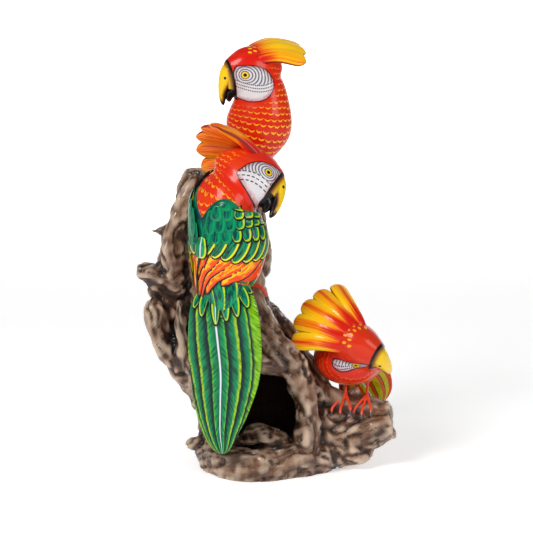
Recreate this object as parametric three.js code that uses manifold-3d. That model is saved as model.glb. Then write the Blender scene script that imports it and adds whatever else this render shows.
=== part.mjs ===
// Three painted wooden parrots on a piece of driftwood, a folk carving about half a metre tall.
// Units are millimetres, +Z is up and the front is at -Y. The origin is under the middle of the
// whole outline, on the surface that the driftwood stands on.
//
// Separate pieces: the driftwood, one carving for each bird with its head, crest, wings and tail,
// and the painted wire legs that pin the birds to the wood.
import * as THREE from "three";
import { mergeVertices } from "three/addons/utils/BufferGeometryUtils.js";
import Module from "manifold-3d";

const wasm = await Module();
wasm.setup();

const SEAT_GAP = 1; // clearance between a piece and the pocket it sits in
const FINEST_EDGE = 0.4; // shorter edges left by the joins are merged away
const BARK = 2.2; // the driftwood's own skin is thinned out to within this
const MIDDLE = [0, -14.7]; // where the origin lies in the frame of the stations below
const SQUAT = 60; // the mass of the base goes this far below the surface before it is cut flat

// Stations of the forms below are [x, y, z, half width, half depth]. Those of the driftwood are
// [x, y, z, half depth along y, half width across it].

// The trunk leans from a broken top at the left into a wide base.
const TRUNK = [
  [-51, 24, 355, 0, 0],
  [-51, 24, 348, 24, 42],
  [-56, 22, 318, 32, 50],
  [-54, 20, 285, 38, 54],
  [-48, 19, 248, 40, 56],
  [-50, 16, 210, 43, 46],
  [-36, 14, 165, 46, 55],
  [-16, 14, 105, 48, 74],
  [-3, 13, 52, 50, 78],
  [4, 10, -10, 54, 80],
  [4, 10, -SQUAT, 0, 0],
];
const LIMBS = {
  shoulder: [
    [-82, 2, 347, 0, 0],
    [-88, 0, 328, 14, 10],
    [-99, -2, 300, 18, 14],
    [-110, -4, 268, 18, 13],
    [-112, -4, 236, 17, 14],
    [-104, 0, 200, 0, 0],
  ],
  arch: [
    [-16, 0, 250, 0, 0],
    [-14, -14, 226, 15, 12],
    [-12, -24, 196, 16, 14],
    [7, -33, 156, 16, 17],
    [32, -37, 118, 15, 18],
    [45, -40, 78, 15, 14],
    [45, -37, 34, 17, 18],
    [42, -30, -20, 20, 24],
    [42, -30, -SQUAT, 0, 0],
  ],
  brow: [
    [-60, -14, 168, 0, 0],
    [-40, -26, 150, 14, 14],
    [-12, -34, 134, 14, 15],
    [14, -34, 124, 14, 14],
    [34, -26, 112, 0, 0],
  ],
  ridge: [
    [6, 10, 190, 0, 0],
    [22, 6, 156, 18, 13],
    [42, 2, 120, 20, 14],
    [62, -2, 92, 22, 15],
    [86, -4, 66, 0, 0],
  ],
  shell: [
    [-128, -22, 202, 0, 0],
    [-129, -21, 194, 14, 11],
    [-128, -18, 172, 18, 13.5],
    [-121.5, -14, 150, 18, 13.5],
    [-106, -8, 126, 18, 13],
    [-90, -2, 98, 18, 11],
    [-80, 4, 72, 0, 0],
  ],
  innerShell: [
    [-100, -34, 204, 0, 0],
    [-102, -30, 190, 10, 6],
    [-100, -26, 160, 13, 7],
    [-94, -20, 128, 15, 9],
    [-86, -12, 100, 0, 0],
  ],
  backing: [
    [-96, 12, 226, 0, 0],
    [-104, 12, 204, 14, 16],
    [-106, 8, 168, 14, 18],
    [-94, 8, 122, 14, 14],
    [-80, 10, 90, 0, 0],
  ],
  stub: [
    [-88, 8, 216, 0, 0],
    [-104, 6, 219, 20, 19],
    [-122, 0, 225, 17, 15],
    [-139, -5, 230, 14, 13],
    [-149, -6, 231, 12, 11],
    [-155, -6, 231, 0, 0],
  ],
  stubRoot: [
    [-143, -6, 222, 0, 0],
    [-134, -6, 212, 10, 8],
    [-122, -4, 200, 12, 10],
    [-108, 0, 182, 14, 13],
    [-92, 2, 160, 0, 0],
  ],
  spike: [
    [-94, 6, 293, 0, 0],
    [-106, 2, 286, 13, 12],
    [-119, 0, 281, 8, 6.5],
    [-135, -2, 279, 0, 0],
  ],
  rightRoot: [
    [24, 6, 44, 0, 0],
    [52, 4, 43, 40, 40],
    [86, -2, 42, 36, 36],
    [114, -7, 46, 29, 31],
    [136, -10, 53, 25, 25],
    [151, -12, 54, 20, 21],
    [163, -12, 54, 0, 0],
  ],
  perch: [
    [54, -2, 100, 0, 0],
    [72, -6, 86, 14, 12],
    [98, -10, 75, 15, 11],
    [124, -10, 74, 14, 10],
    [142, -8, 70, 0, 0],
  ],
  nub: [
    [104, 4, 78, 0, 0],
    [104, -4, 86, 8, 8],
    [104, -12, 88, 7, 7],
    [104, -16, 88, 0, 0],
  ],
  rootTip: [
    [56, -12, 36, 0, 0],
    [80, -16, 24, 24, 20],
    [102, -18, 20, 20, 17],
    [118, -18, 22, 12, 12],
    [128, -18, 26, 0, 0],
  ],
  lip: [
    [-74, 30, 12, 0, 0],
    [-64, -2, 14, 22, 18],
    [-48, -40, 14, 20, 20],
    [-14, -63, 12, 20, 22],
    [26, -48, 16, 20, 22],
    [60, -26, 16, 22, 22],
    [92, -8, 14, 0, 0],
  ],
  lump: [
    [-34, -30, 40, 0, 0],
    [-20, -44, 46, 12, 12],
    [0, -50, 48, 11, 12],
    [18, -44, 42, 10, 9],
    [30, -34, 34, 0, 0],
  ],
  backRidge: [
    [-34, 34, 340, 0, 0],
    [-30, 46, 300, 16, 15],
    [-26, 50, 235, 17, 16],
    [-6, 52, 160, 18, 18],
    [22, 52, 85, 20, 22],
    [36, 50, 20, 22, 26],
    [38, 50, -SQUAT, 0, 0],
  ],
  backRoot: [
    [-60, 30, 190, 0, 0],
    [-66, 42, 150, 14, 14],
    [-62, 50, 95, 18, 18],
    [-58, 54, 35, 20, 24],
    [-56, 54, -SQUAT, 0, 0],
  ],
  backKnob: [
    [-70, 30, 262, 0, 0],
    [-74, 46, 250, 12, 13],
    [-78, 60, 238, 10, 9],
    [-80, 68, 232, 0, 0],
  ],
  thorn: [
    [-70, 0, 34, 0, 0],
    [-82, -3, 28, 9, 10],
    [-96, -6, 25, 0, 0],
  ],
  stemNub: [
    [-74, 2, 78, 0, 0],
    [-83, 0, 76, 10, 11],
    [-93, -2, 76, 0, 0],
  ],
};

// The cave in the front of the base, open to the front and closed behind.
const CAVE = [
  [-5, -112, 84, 0, 0],
  [-5, -88, 82, 32, 28],
  [-5, -50, 78, 38, 34],
  [-3, -14, 76, 35, 33],
  [-1, 16, 74, 0, 0],
];
const ROOT_CUT = { normal: [-1, 0.1, -0.18], reach: -159 }; // the sawn end of the right root

// Heads are carved alike. In a head's own frame x points to the beak, y to the bird's left and z to
// the crown, and the origin is the middle of the skull. A lobe of the crest spans share 0 to 1 of
// the way from its root to its reach, rising above the crown and drooping at the sides.
const SKULL = [
  [-33, 0, 2, 0, 0],
  [-25, 0, 5, 16, 22],
  [-8, 0, 6, 24, 33],
  [9, 0, 4, 25, 35],
  [23, 0, 0, 20, 29],
  [33, 0, -4, 13, 22],
  [39, 0, -6, 0, 0],
];
const BEAK = [
  [20, 0, 12, 0, 0],
  [26, 0, 10, 13, 13],
  [32.5, 0, 6, 12, 12],
  [37, 0, -3, 9.5, 8.5],
  [38.5, 0, -15, 7, 6.2],
  [38, 0, -26, 4.8, 4.4],
  [36, 0, -35.5, 0, 0],
];
const JAW = [
  [18, 0, -13, 0, 0],
  [23, 0, -16, 10, 9.5],
  [28.5, 0, -19, 8, 8.5],
  [29.5, 0, -25, 5, 5],
  [28.5, 0, -31, 0, 0],
];
const CREST = {
  lobes: 5,
  hub: 38,
  root: 34,
  reach: 101,
  shorter: 1,
  spread: 12.5,
  rise: 38,
  droop: 2.4,
  roll: 20,
  wide: 10.5,
  thick: 6,
};

const BIRDS = {
  top: {
    head: {
      at: [-15, 10, 456.5],
      beak: [-0.92, -0.39, 0.02],
      crown: [0.1, -0.24, 0.97],
      size: 0.94,
      lean: -6,
    },
    right: [-1, 0.1, 0],
    body: [
      [-9, 10, 468, 0, 0],
      [-8, 10, 455, 25, 25],
      [-6, 12, 434, 31.5, 28],
      [-7, 14, 416, 37, 32],
      [-9.5, 17, 400, 39, 35],
      [-14, 23, 384, 33, 34],
      [-18, 31, 370, 24, 28],
      [-23, 43, 354, 13, 16],
      [-26, 52, 336, 0, 0],
    ],
    wing: { neck: 0.36, edge: 0.74, tip: 0.97, curve: 1.4, reach: 62, seam: 0, sweep: 0 },
    tail: [
      [-22, 38, 352, 0, 0],
      [-25, 50, 338, 17, 7],
      [-30, 68, 300, 25, 5],
      [-34, 76, 262, 27, 4.5],
      [-38, 78, 222, 20, 4],
      [-41, 77, 190, 0, 0],
    ],
  },
  middle: {
    head: {
      at: [-24.5, -68, 342],
      beak: [0.96, 0, -0.28],
      crown: [0.224, 0.6, 0.768],
      size: 1.06,
      lean: 1,
    },
    right: [0.73, -0.68, 0],
    body: [
      [-22, -66, 350, 0, 0],
      [-28, -66, 338, 26, 26],
      [-43, -66, 320, 39.5, 35],
      [-45, -66, 298, 43, 35],
      [-42, -66, 275, 48, 38],
      [-43, -67, 250, 42.5, 35],
      [-48, -70, 227, 33, 29],
      [-48, -77, 206, 28, 21],
      [-49, -84, 180, 0, 0],
    ],
    wing: { neck: 0.355, edge: 0.62, tip: 0.87, curve: 0.35, reach: 120, seam: 3, sweep: 28 },
    tail: [
      [-49, -76, 236, 0, 0],
      [-48, -84, 206, 38, 11],
      [-47, -86, 160, 43, 7],
      [-47, -87, 128, 41, 6],
      [-50, -88, 95, 34, 5],
      [-52, -88, 62, 22, 4],
      [-50, -88, 35, 0, 0],
    ],
    tailRight: [0.95, -0.31, 0],
  },
  lower: {
    head: {
      at: [101.5, -29, 148],
      beak: [0.76, -0.58, -0.28],
      crown: [-0.34, -0.73, 0.59],
      size: 1.045,
      lean: 4,
    },
    right: [-1, 0, 0],
    body: [
      [101, -50, 130, 0, 0],
      [100, -38, 130, 30, 23],
      [98, -16, 130, 41, 31],
      [98, 8, 129, 42, 33],
      [100, 30, 121, 35, 29],
      [105, 50, 108, 23, 19],
      [110, 64, 98, 0, 0],
    ],
    wing: { neck: 0.3, edge: 0.72, tip: 0.98, curve: 1.4, reach: 70, seam: 0, sweep: 0 },
    tail: [
      [104, 28, 110, 0, 0],
      [110, 35, 102, 26, 8],
      [119, 39, 89, 33, 6],
      [128, 43, 74, 27, 5],
      [135, 46, 60, 0, 0],
    ],
    tailRight: [-0.9, 0.1, -0.35],
  },
};

// Legs are bent wire: a shank, three toes in front and one behind. A foot's own frame is given by
// where the toes part, the way they point and the way that the shank goes up. toe is how long they
// are, spread the angle between them and grip how deep their points go.
const WIRE = 1.7;
const HEEL = 7;
const THIGH = [
  [13, 0],
  [8, 9],
  [2, 6.5],
  [-3, 0],
]; // heights above the knee and radii
const LEGS = {
  leg_lower_right: {
    foot: [93, -15, 89],
    knee: [93, -10, 103],
    toward: [-0.4, -1, -0.75],
    toe: 22,
    spread: 30,
    grip: 10,
  },
  leg_lower_left: {
    foot: [118, -17, 88],
    knee: [119, -10, 103],
    toward: [-0.4, -1, -0.75],
    toe: 22,
    spread: 27,
    grip: 10,
  },
  leg_middle_right: {
    foot: [-17.2, -37, 221],
    knee: [-21, -39, 233],
    toward: [1, 0.2, -0.2],
    toe: 12,
    spread: 26,
    grip: 16,
  },
  leg_middle_left: {
    foot: [-68, -25, 230],
    knee: [-60, -41, 240],
    toward: [-0.8, 0.5, -0.35],
    toe: 12,
    spread: 26,
    grip: 9.5,
  },
  leg_top_right: {
    foot: [-34, 10, 355],
    knee: [-27, 15, 370],
    toward: [-0.3, -1, -0.3],
    toe: 12,
    spread: 26,
    grip: 9,
  },
  leg_top_left: {
    foot: [-14, 12, 354],
    knee: [-9, 17, 370],
    toward: [0.2, -1, -0.4],
    toe: 12,
    spread: 26,
    grip: 9,
  },
};

const painted = (color, roughness) => new THREE.MeshStandardMaterial({ color, roughness });
const VARNISHED_ROOT = painted("#78553c", 0.5);
const LACQUER = {
  top: painted("#e2381f", 0.25),
  middle: painted("#119a63", 0.25),
  lower: painted("#ea5a20", 0.25),
};
const LEG_PAINT = painted("#d9492b", 0.4);

// Solids

const vector = (list) => new THREE.Vector3(...list);
const smoothCurve = (points) => new THREE.CatmullRomCurve3(points, false, "catmullrom", 0.5);

// A closed three.js geometry as a solid that can be joined and cut.
function solidOf(geometry) {
  const bare = geometry.clone();
  bare.deleteAttribute("normal");
  bare.deleteAttribute("uv");
  const merged = mergeVertices(bare, 1e-3);
  return new wasm.Manifold(
    new wasm.Mesh({
      numProp: 3,
      vertProperties: merged.attributes.position.array,
      triVerts: new Uint32Array(merged.index.array),
    }),
  );
}

const joined = (solids) => solids.reduce((whole, piece) => whole.add(piece));

// The largest skin of a solid, without the specks and pinholes that joins leave beside and inside it.
const sound = (solid) => solid.decompose().reduce((a, b) => (b.volume() > a.volume() ? b : a));

function geometryOf(solid) {
  const { numProp, vertProperties, triVerts } = solid.getMesh();
  const places = new Float32Array((vertProperties.length / numProp) * 3);
  for (let i = 0; i < places.length / 3; i++) {
    places.set(vertProperties.subarray(i * numProp, i * numProp + 3), i * 3);
  }
  const geometry = new THREE.BufferGeometry()
    .setAttribute("position", new THREE.BufferAttribute(places, 3))
    .setIndex(new THREE.BufferAttribute(triVerts, 1));
  geometry.computeVertexNormals();
  return geometry;
}

// Corners that fall together are merged a second time, which parts what only met at a point.
function meshOf(name, solid, material) {
  const firm = sound(solidOf(geometryOf(sound(solid.simplify(FINEST_EDGE)))));
  const mesh = new THREE.Mesh(geometryOf(firm), material);
  mesh.name = name;
  return mesh;
}

// The surface swept through a row of stations. The width lies along side, the depth across it, and
// the squares of the half sizes are interpolated, so a station of no size ends it in a round tip.
// Returns the point at t along the row, at an angle around it and so far above it.
function formThrough(stations, side, swell = 0) {
  const path = smoothCurve(stations.map(([x, y, z]) => new THREE.Vector3(x, y, z)));
  const girth = smoothCurve(stations.map(([, , , w, d]) => new THREE.Vector3(w * w, d * d, 0)));
  const last = stations.length - 1;
  return (t, angle, lift = 0) => {
    const along = path.getTangent(t);
    const across = side.clone().addScaledVector(along, -side.dot(along)).normalize();
    const outward = along.clone().cross(across);
    const size = girth.getPoint(t);
    const fromEnd = Math.min(t, 1 - t) * last;
    const end = Math.sqrt(THREE.MathUtils.clamp(fromEnd, 0, 1));
    const half = (square) => Math.sqrt(Math.max(0, square)) + swell * end + lift;
    return path
      .getPoint(t)
      .addScaledVector(along, swell * (t < 0.5 ? end - 1 : 1 - end))
      .addScaledVector(across, half(size.x) * Math.cos(angle))
      .addScaledVector(outward, half(size.y) * Math.sin(angle));
  };
}

// A closed skin over such a form: a sphere whose poles go to the form's two ends.
function skin(stations, { side = [1, 0, 0], sides = 12, rings = 10, relief, frame, swell } = {}) {
  const form = formThrough(stations, vector(side), swell);
  const geometry = new THREE.SphereGeometry(1, sides, rings);
  const places = geometry.getAttribute("position");
  const point = new THREE.Vector3();
  for (let i = 0; i < places.count; i++) {
    point.fromBufferAttribute(places, i);
    const t = THREE.MathUtils.clamp((1 - point.y) / 2, 0, 1);
    const angle = Math.atan2(point.z, point.x);
    const lift = relief ? Math.hypot(point.x, point.z) * relief(t, angle) : 0;
    point.copy(form(t, angle, lift));
    if (frame) point.applyMatrix4(frame);
    places.setXYZ(i, point.x, point.y, point.z);
  }
  return solidOf(geometry);
}

// Driftwood: limbs with worn flutes that wind round them.
const flutes = (count, depth, twist) => (t, angle) =>
  depth * (Math.sin(count * angle + twist * t) + 0.5 * Math.sin((count + 3) * angle - 5 * t));

function driftwood() {
  const trunk = skin(TRUNK, { side: [0, 1, 0], sides: 24, rings: 16, relief: flutes(6, 3.2, 7) });
  const limbs = Object.values(LIMBS).map((stations) =>
    skin(stations, { side: [0, 1, 0], sides: 8, rings: 7, relief: flutes(3, 1.4, 5) }),
  );
  return joined([trunk, ...limbs])
    .subtract(skin(CAVE, { sides: 16, rings: 10, relief: flutes(3, 2, 4) }))
    .trimByPlane(ROOT_CUT.normal, ROOT_CUT.reach)
    .trimByPlane([0, 0, 1], 0);
}

// Birds

function headFrame({ at, beak, crown, size }) {
  const forward = vector(beak).normalize();
  const left = vector(crown).cross(forward).normalize();
  const up = forward.clone().cross(left);
  return new THREE.Matrix4()
    .makeBasis(forward.multiplyScalar(size), left.multiplyScalar(size), up.multiplyScalar(size))
    .setPosition(...at);
}

// One lobe of the crest, a fan whose lobes spread from a hub near the beak over the back of the head.
// The outer lobes are shorter, lower and tilted. lean turns the whole fan towards the bird's left.
function crestLobe(place, lean) {
  const { hub, root, reach, shorter, spread, rise, droop, roll, wide, thick } = CREST;
  const turn = THREE.MathUtils.degToRad(place * spread + lean);
  const tilt = THREE.MathUtils.degToRad(place * roll);
  const station = (share, lift, w, d) => {
    const distance = THREE.MathUtils.lerp(root, reach - shorter * place * place, share);
    const z = rise - droop * place * place + lift;
    return [hub - distance * Math.cos(turn), distance * Math.sin(turn), z, w, d];
  };
  const stations = [
    station(-0.12, -8, 0, 0),
    station(0.1, -1, wide * 0.75, thick),
    station(0.45, 5, wide * 0.95, thick),
    station(0.84, 3, wide, thick * 0.75),
    station(1, 0, 0, 0),
  ];
  return { stations, side: [0, Math.cos(tilt), -Math.sin(tilt)] };
}

function head(bird, swell) {
  const frame = headFrame(bird.head);
  const side = [0, 1, 0];
  const half = (CREST.lobes - 1) / 2;
  const lobes = Array.from({ length: CREST.lobes }, (_, i) => {
    const lobe = crestLobe(i - half, bird.head.lean);
    return skin(lobe.stations, { side: lobe.side, sides: 6, rings: 6, frame, swell });
  });
  return joined([
    skin(SKULL, { side, sides: 12, rings: 8, frame, swell }),
    skin(BEAK, { side, sides: 7, rings: 7, frame, swell }),
    skin(JAW, { side, sides: 6, rings: 6, frame, swell }),
    ...lobes,
  ]);
}

// A folded wing: a plate that lies on the back from the seam between the wings round the flank, with
// its feathers in overlapping rows. neck and edge are where it starts and ends along the body, and its
// point reaches tip. The seam is so far left of the spine and swings on by sweep towards the point.
// hand is 1 on the bird's right and -1 on its left.
function wing(form, { neck, edge, tip, curve, reach, seam, sweep }, hand) {
  const [columns, rows, tiers] = [6, 6, 3];
  const geometry = new THREE.BoxGeometry(2, 2, 2, columns, rows, 1);
  const places = geometry.getAttribute("position");
  for (let i = 0; i < places.count; i++) {
    const flank = (1 + hand * places.getX(i)) / 2;
    const along = (1 - places.getY(i)) / 2;
    const upper = places.getZ(i) > 0;
    const top = neck - 0.13 + 0.13 * (2 * flank - 1) ** 2;
    const bottom = edge + (tip - edge) * (1 - flank) ** curve;
    const t = THREE.MathUtils.lerp(top, bottom, along);
    const swung = seam + sweep * Math.max(0, (t - neck) / (tip - neck)) ** 2;
    const angle = THREE.MathUtils.degToRad(90 + swung - hand * (-2 + reach * flank));
    const tier = (along * tiers) % 1;
    const rim = Math.min(1, 6 * Math.min(flank, 1 - flank, along, 1 - along));
    const lift = upper ? 1 + rim * (2 + 1.2 * tier) : -3;
    const { x, y, z } = form(t, angle, lift);
    places.setXYZ(i, x, y, z);
  }
  return solidOf(geometry);
}

// The feathered thigh round the upper end of a leg.
function thigh({ foot, knee }, swell) {
  const up = vector(knee).sub(vector(foot)).normalize();
  const stations = THIGH.map(([height, r]) => {
    const { x, y, z } = vector(knee).addScaledVector(up, height);
    return [x, y, z, r, r];
  });
  return skin(stations, { side: [0.6, 0.8, 0], sides: 7, rings: 5, swell });
}

function carving(name, swell = 0) {
  const bird = BIRDS[name];
  const form = formThrough(bird.body, vector(bird.right), swell);
  const quills = (t, angle) => 0.7 * Math.cos(6 * angle);
  return joined([
    skin(bird.body, { side: bird.right, sides: 13, rings: 9, swell }),
    head(bird, swell),
    wing(form, bird.wing, 1),
    wing(form, bird.wing, -1),
    skin(bird.tail, { side: bird.tailRight ?? bird.right, sides: 10, rings: 8, relief: quills, swell }),
    ...["right", "left"].map((hand) => thigh(LEGS[`leg_${name}_${hand}`], swell)),
  ]);
}

// Legs

function wireLeg({ foot, knee, toward, toe, spread, grip }, swell = 0) {
  const point = vector(foot);
  const shank = vector(knee).sub(point);
  const ahead = vector(toward).normalize();
  const up = shank.clone().normalize();
  const across = ahead.clone().cross(up).normalize();
  const wire = (from, bend, to) => {
    const behind = from.clone().sub(bend).setLength(2 * WIRE).add(from);
    const places = [behind, from, bend, bend.clone().lerp(to, 0.6), to];
    const stations = places.map(({ x, y, z }, i) => [x, y, z, ...(i % 4 === 0 ? [0, 0] : [WIRE, WIRE])]);
    return skin(stations, { side: across.toArray(), sides: 4, rings: 4, swell });
  };
  const toes = [-1, 0, 1].map((place) => {
    const turn = THREE.MathUtils.degToRad(place * spread);
    const way = ahead.clone().multiplyScalar(Math.cos(turn)).addScaledVector(across, Math.sin(turn));
    const bend = point.clone().addScaledVector(way, toe).addScaledVector(up, -1);
    const tip = bend.clone().addScaledVector(way, 4).addScaledVector(up, -grip);
    return wire(point, bend, tip);
  });
  const heel = point.clone().addScaledVector(ahead, -HEEL).addScaledVector(up, -4);
  const hook = heel.clone().addScaledVector(ahead, -HEEL * 0.7).addScaledVector(up, -HEEL);
  const above = vector(knee).addScaledVector(up, 6);
  const parting = point.clone().addScaledVector(up, -1.5 * WIRE);
  return joined([wire(above, vector(knee), parting), ...toes, wire(point, heel, hook)]);
}

const wood = driftwood().simplify(BARK);
const sockets = joined(Object.values(LEGS).map((leg) => wireLeg(leg, SEAT_GAP)));
const seats = joined(Object.keys(BIRDS).map((name) => carving(name, SEAT_GAP)));

const sculpture = new THREE.Group();
sculpture.position.set(-MIDDLE[0], -MIDDLE[1], 0);
sculpture.add(meshOf("driftwood", wood.subtract(sockets).subtract(seats), VARNISHED_ROOT));
for (const name of Object.keys(BIRDS)) {
  sculpture.add(meshOf(`parrot_${name}`, carving(name).subtract(sockets), LACQUER[name]));
}
for (const [name, leg] of Object.entries(LEGS)) {
  sculpture.add(meshOf(name, wireLeg(leg), LEG_PAINT));
}

export default sculpture;
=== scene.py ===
import bmesh
import bpy
import numpy as np
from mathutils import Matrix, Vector, noise


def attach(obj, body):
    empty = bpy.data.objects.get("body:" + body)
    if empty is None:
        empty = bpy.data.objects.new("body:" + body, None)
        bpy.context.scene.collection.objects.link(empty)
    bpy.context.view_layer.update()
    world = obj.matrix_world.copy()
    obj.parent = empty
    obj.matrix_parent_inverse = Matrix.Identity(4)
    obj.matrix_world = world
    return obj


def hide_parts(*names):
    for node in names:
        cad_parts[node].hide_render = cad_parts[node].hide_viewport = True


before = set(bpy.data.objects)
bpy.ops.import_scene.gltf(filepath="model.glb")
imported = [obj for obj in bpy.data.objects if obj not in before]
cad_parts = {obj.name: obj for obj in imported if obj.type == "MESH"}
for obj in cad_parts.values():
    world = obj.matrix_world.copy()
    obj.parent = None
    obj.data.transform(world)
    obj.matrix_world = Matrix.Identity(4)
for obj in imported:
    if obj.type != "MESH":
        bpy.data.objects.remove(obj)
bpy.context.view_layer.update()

# Camera
# It stands a long step back, a little above the middle of the carving and square to its front.
MM = 0.001
MIDDLE = np.array([0, -14.7, 0])  # the origin, in the frame that the forms below are measured in
LENS_AT = np.array([0, -1642.7, 439]) - MIDDLE
LOOKS_AT = np.array([0, 0, 237.3]) - MIDDLE


def linked(name, data):
    """Data in an object of the scene."""
    holder = bpy.data.objects.new(name, data)
    bpy.context.collection.objects.link(holder)
    return holder


camera = linked("camera", bpy.data.cameras.new("camera"))
camera.data.lens = 95.4
camera.location = LENS_AT * MM
camera.rotation_euler = Vector(LOOKS_AT - LENS_AT).to_track_quat("-Z", "Y").to_euler()
bpy.context.scene.camera = camera
bpy.context.scene.view_settings.view_transform = "Standard"

# Driftwood
# One piece of root wood, dug out and cleaned: a leaning trunk with a broken shell, a cut stub, a cave
# in its base and a sawn root that the lower bird stands on. The base is sawn flat.
SQUAT = 60
TRUNK = [
    (-51, 24, 355, 0, 0), (-51, 24, 348, 24, 42), (-56, 22, 318, 32, 50), (-54, 20, 285, 38, 54),
    (-48, 19, 248, 40, 56), (-50, 16, 210, 43, 46), (-36, 14, 165, 46, 55), (-16, 14, 105, 48, 74),
    (-3, 13, 52, 50, 78), (4, 10, -10, 54, 80), (4, 10, -SQUAT, 0, 0),
]
LIMBS = {
    "shoulder": [(-82, 2, 347, 0, 0), (-88, 0, 328, 14, 10), (-99, -2, 300, 18, 14), (-110, -4, 268, 18, 13),
                 (-112, -4, 236, 17, 14), (-104, 0, 200, 0, 0)],
    "arch": [(-16, 0, 250, 0, 0), (-14, -14, 226, 15, 12), (-12, -24, 196, 16, 14), (7, -33, 156, 16, 17),
             (32, -37, 118, 15, 18), (45, -40, 78, 15, 14), (45, -37, 34, 17, 18), (42, -30, -20, 20, 24),
             (42, -30, -SQUAT, 0, 0)],
    "brow": [(-60, -14, 168, 0, 0), (-40, -26, 150, 14, 14), (-12, -34, 134, 14, 15), (14, -34, 124, 14, 14),
             (34, -26, 112, 0, 0)],
    "ridge": [(6, 10, 190, 0, 0), (22, 6, 156, 18, 13), (42, 2, 120, 20, 14), (62, -2, 92, 22, 15),
              (86, -4, 66, 0, 0)],
    "shell": [(-128, -22, 202, 0, 0), (-129, -21, 194, 14, 11), (-128, -18, 172, 18, 13.5),
              (-121.5, -14, 150, 18, 13.5), (-106, -8, 126, 18, 13), (-90, -2, 98, 18, 11),
              (-80, 4, 72, 0, 0)],
    "inner_shell": [(-100, -34, 204, 0, 0), (-102, -30, 190, 10, 6), (-100, -26, 160, 13, 7),
                    (-94, -20, 128, 15, 9), (-86, -12, 100, 0, 0)],
    "backing": [(-96, 12, 226, 0, 0), (-104, 12, 204, 14, 16), (-106, 8, 168, 14, 18), (-94, 8, 122, 14, 14),
                (-80, 10, 90, 0, 0)],
    "stub": [(-88, 8, 216, 0, 0), (-104, 6, 219, 20, 19), (-122, 0, 225, 17, 15), (-139, -5, 230, 14, 13),
             (-149, -6, 231, 12, 11), (-155, -6, 231, 0, 0)],
    "stub_root": [(-143, -6, 222, 0, 0), (-134, -6, 212, 10, 8), (-122, -4, 200, 12, 10),
                  (-108, 0, 182, 14, 13), (-92, 2, 160, 0, 0)],
    "spike": [(-94, 6, 293, 0, 0), (-106, 2, 286, 13, 12), (-119, 0, 281, 8, 6.5), (-135, -2, 279, 0, 0)],
    "right_root": [(24, 6, 44, 0, 0), (52, 4, 43, 40, 40), (86, -2, 42, 36, 36), (114, -7, 46, 29, 31),
                   (136, -10, 53, 25, 25), (151, -12, 54, 20, 21), (163, -12, 54, 0, 0)],
    "perch": [(54, -2, 100, 0, 0), (72, -6, 86, 14, 12), (98, -10, 75, 15, 11), (124, -10, 74, 14, 10),
              (142, -8, 70, 0, 0)],
    "nub": [(104, 4, 78, 0, 0), (104, -4, 86, 8, 8), (104, -12, 88, 7, 7), (104, -16, 88, 0, 0)],
    "root_tip": [(56, -12, 36, 0, 0), (80, -16, 24, 24, 20), (102, -18, 20, 20, 17), (118, -18, 22, 12, 12),
                 (128, -18, 26, 0, 0)],
    "lip": [(-74, 30, 12, 0, 0), (-64, -2, 14, 22, 18), (-48, -40, 14, 20, 20), (-14, -63, 12, 20, 22),
            (26, -48, 16, 20, 22), (60, -26, 16, 22, 22), (92, -8, 14, 0, 0)],
    "lump": [(-34, -30, 40, 0, 0), (-20, -44, 46, 12, 12), (0, -50, 48, 11, 12), (18, -44, 42, 10, 9),
             (30, -34, 34, 0, 0)],
    "back_ridge": [(-34, 34, 340, 0, 0), (-30, 46, 300, 16, 15), (-26, 50, 235, 17, 16),
                   (-6, 52, 160, 18, 18), (22, 52, 85, 20, 22), (36, 50, 20, 22, 26),
                   (38, 50, -SQUAT, 0, 0)],
    "back_root": [(-60, 30, 190, 0, 0), (-66, 42, 150, 14, 14), (-62, 50, 95, 18, 18), (-58, 54, 35, 20, 24),
                  (-56, 54, -SQUAT, 0, 0)],
    "back_knob": [(-70, 30, 262, 0, 0), (-74, 46, 250, 12, 13), (-78, 60, 238, 10, 9), (-80, 68, 232, 0, 0)],
    "thorn": [(-70, 0, 34, 0, 0), (-82, -3, 28, 9, 10), (-96, -6, 25, 0, 0)],
    "stem_nub": [(-74, 2, 78, 0, 0), (-83, 0, 76, 10, 11), (-93, -2, 76, 0, 0)],
}
CAVE = [(-5, -112, 84, 0, 0), (-5, -88, 82, 32, 28), (-5, -50, 78, 38, 34), (-3, -14, 76, 35, 33),
        (-1, 16, 74, 0, 0)]
ROOT_CUT = (np.array([-1, 0.1, -0.18]), -159)  # the sawn end of the right root: its normal and reach
LEGS = {  # bent wires: where the toes part, the knee, the way the toes point, their length, spread and grip
    "leg_lower_right": ((93, -15, 89), (93, -10, 103), (-0.4, -1, -0.75), 22, 30, 10),
    "leg_lower_left": ((118, -17, 88), (119, -10, 103), (-0.4, -1, -0.75), 22, 27, 10),
    "leg_middle_right": ((-17.2, -37, 221), (-21, -39, 233), (1, 0.2, -0.2), 12, 26, 16),
    "leg_middle_left": ((-68, -25, 230), (-60, -41, 240), (-0.8, 0.5, -0.35), 12, 26, 9.5),
    "leg_top_right": ((-34, 10, 355), (-27, 15, 370), (-0.3, -1, -0.3), 12, 26, 9),
    "leg_top_left": ((-14, 12, 354), (-9, 17, 370), (0.2, -1, -0.4), 12, 26, 9),
}
WOOD_VOXEL = 1.9  # mm, fine enough for the flutes and just under the limit on faces


def spline(rows, t):
    """A smooth curve through rows of numbers, at shares t of the way along it."""
    rows = np.asarray(rows, float)
    spans = len(rows) - 1
    place = np.clip(np.asarray(t, float), 0, 1) * spans
    stretch = np.minimum(np.floor(place).astype(int), spans - 1)
    w = (place - stretch)[..., None]
    held = np.vstack([2 * rows[0] - rows[1], rows, 2 * rows[-1] - rows[-2]])
    before, start, end, after = (held[stretch + k] for k in range(4))
    leave, arrive = (end - before) / 2, (after - start) / 2
    cubic = 2 * start - 2 * end + leave + arrive
    square = 3 * end - 3 * start - 2 * leave - arrive
    return ((cubic * w + square) * w + leave) * w + start


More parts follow.
